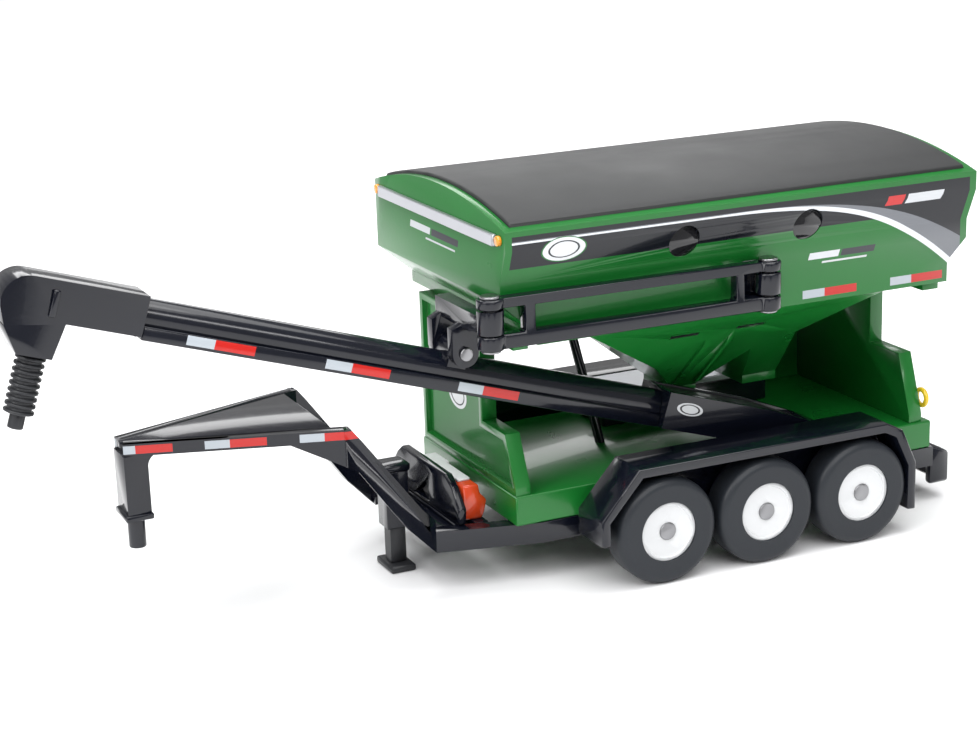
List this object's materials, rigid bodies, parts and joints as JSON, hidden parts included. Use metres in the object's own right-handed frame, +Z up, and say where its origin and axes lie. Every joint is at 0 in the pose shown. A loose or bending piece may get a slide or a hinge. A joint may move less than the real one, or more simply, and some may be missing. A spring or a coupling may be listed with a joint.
{
  "type": "bulk seed tender trailer model",
  "caption": "Small replica of a gooseneck grain and seed tender: covered two-funnel hopper on a triple-axle frame with a side unloading conveyor on a swing arm.",
  "frame": {"origin": "on the ground, at the centre of the overall box", "axes": "+Z up, -X towards the hitch, -Y towards the conveyor side"},
  "size_m": [0.1124, 0.0404, 0.0442],
  "materials": {
    "green_paint": "gloss",
    "black_paint": "gloss",
    "roof_black": "satin",
    "window_black": "gloss",
    "silver_paint": "satin",
    "amber_lamp": "gloss",
    "red_lens": "gloss",
    "white_plastic": "satin",
    "engine_orange": "gloss",
    "yellow_plastic": "gloss",
    "tyre_black": "satin",
    "bare_steel": "satin",
    "satin_black_plastic": "satin"
  },
  "bodies": {
    "root": {"hopper_shell": "green_paint", "hopper_divider": "green_paint", "roof_cover": "roof_black", "sight_windows": "window_black", "front_light_bar": "silver_paint", "marker_lamps": "amber_lamp", "front_bulkhead": "green_paint", "rear_bulkhead": "green_paint", "base_pan": "green_paint", "frame_rail_left": "black_paint", "frame_rail_right": "black_paint", "crossmembers": "black_paint", "axle_hangers_left": "black_paint", "axle_hangers_right": "black_paint", "fender_left": "black_paint", "fender_right": "black_paint", "base_screws": "bare_steel", "hydraulic_tank": "black_paint", "tank_lid": "silver_paint", "hopper_brace": "black_paint", "front_shield": "black_paint", "engine_block": "engine_orange", "engine_shroud": "white_plastic", "gooseneck_plate": "black_paint", "gooseneck_beam_left": "black_paint", "gooseneck_beam_right": "black_paint", "kingpin_post": "black_paint", "coupler_flange": "black_paint", "coupler_tube": "black_paint", "jack_sleeve": "black_paint", "rear_bumper": "black_paint", "lamp_bezels": "white_plastic", "lamp_lenses": "red_lens", "rear_handle": "yellow_plastic", "hinge_bracket": "black_paint"},
    "jack": {"jack_leg": "satin_black_plastic", "jack_foot": "satin_black_plastic"},
    "arm": {"swing_arm": "black_paint", "rear_hinge_pin": "bare_steel", "front_hinge_pin": "bare_steel"},
    "yoke_body": {"yoke": "black_paint", "pivot_pin": "bare_steel"},
    "conveyor": {"conveyor_tube": "black_paint", "conveyor_channel": "black_paint", "pivot_lugs": "black_paint", "conveyor_boot": "black_paint", "boot_cover": "satin_black_plastic", "discharge_head": "black_paint", "head_cap": "black_paint"},
    "spout": {"spout_ribbed": "satin_black_plastic", "spout_tip": "satin_black_plastic"},
    "wheelset_1": {"axle_1": "bare_steel", "wheel_discs_1": "white_plastic", "tyres_1": "tyre_black"},
    "wheelset_2": {"axle_2": "bare_steel", "wheel_discs_2": "white_plastic", "tyres_2": "tyre_black"},
    "wheelset_3": {"axle_3": "bare_steel", "wheel_discs_3": "white_plastic", "tyres_3": "tyre_black"}
  },
  "joints": [
    {"name": "wheel_spin_1", "type": "hinge", "parent": "root", "child": "wheelset_1", "pos_m": [0.01255, 0, 0.0061], "axis": [0, 1, 0], "continuous": true},
    {"name": "wheel_spin_2", "type": "hinge", "parent": "root", "child": "wheelset_2", "pos_m": [0.02527, 0, 0.0061], "axis": [0, 1, 0], "continuous": true},
    {"name": "wheel_spin_3", "type": "hinge", "parent": "root", "child": "wheelset_3", "pos_m": [0.03799, 0, 0.0061], "axis": [0, 1, 0], "continuous": true},
    {"name": "jack_slide", "type": "slide", "parent": "root", "child": "jack", "axis": [0, 0, 1], "range_m": [0, 0.0036]},
    {"name": "arm_swing", "type": "hinge", "parent": "root", "child": "arm", "pos_m": [0.02625, -0.0183, 0.0321], "axis": [0, 0, 1], "range_deg": [0, 90]},
    {"name": "conveyor_turn", "type": "hinge", "parent": "arm", "child": "yoke_body", "pos_m": [-0.00694, -0.01743, 0.0321], "axis": [0, 0, 1], "range_deg": [0, 3]},
    {"name": "conveyor_tilt", "type": "hinge", "parent": "yoke_body", "child": "conveyor", "pos_m": [-0.00775, -0.0094, 0.02758], "axis": [0, -1, 0], "range_deg": [0, 5]},
    {"name": "spout_swivel", "type": "hinge", "parent": "conveyor", "child": "spout", "pos_m": [-0.05284, -0.0094, 0.03367], "axis": [0.304, 0, 0.9527], "continuous": true}
  ],
  "couplings": [
    {"joint": "conveyor_turn", "follows": "arm_swing", "ratio": 0.03},
    {"joint": "conveyor_tilt", "follows": "arm_swing", "ratio": 0.054}
  ]
}
